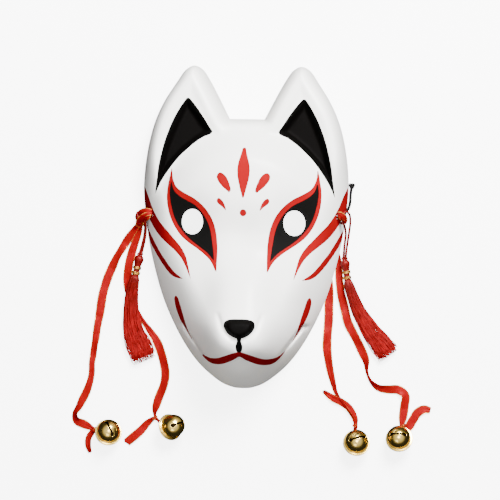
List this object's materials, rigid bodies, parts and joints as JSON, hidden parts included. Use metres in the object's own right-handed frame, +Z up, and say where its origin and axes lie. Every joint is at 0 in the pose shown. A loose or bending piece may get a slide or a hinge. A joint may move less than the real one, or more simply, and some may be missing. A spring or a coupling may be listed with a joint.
{
  "type": "fox mask",
  "caption": "Hollow fox face mask with pointed ears and a long snout, painted markings, elastic, ribbons, tassels and bells; lies face up.",
  "frame": {"origin": "on the table, under the middle of the mask's outline", "axes": "+Z up out of the face, +Y towards the ears, +X to the viewer's right"},
  "size_m": [0.2911, 0.3154, 0.0859],
  "materials": {
    "shell": "smooth white shell with painted red and black markings",
    "satin": "red satin ribbon with gold thread along its edges",
    "red_thread": "silky thread",
    "gold_thread": "wound metallic thread",
    "brass": "polished",
    "elastic": "woven cover, matt"
  },
  "bodies": {
    "root": {"mask_shell": "shell", "elastic_cord": "elastic", "ribbon_left": "satin", "ribbon_right": "satin", "tassel_cord_left": "red_thread", "tassel_cord_right": "red_thread", "tassel_left": "red_thread", "tassel_band_left_upper": "gold_thread", "tassel_band_left_lower": "gold_thread", "tassel_right": "red_thread", "tassel_band_right_upper": "gold_thread", "tassel_band_right_lower": "gold_thread", "bell_left_outer": "brass", "bell_left_inner": "brass", "bell_right_inner": "brass", "bell_right_outer": "brass"}
  },
  "joints": []
}
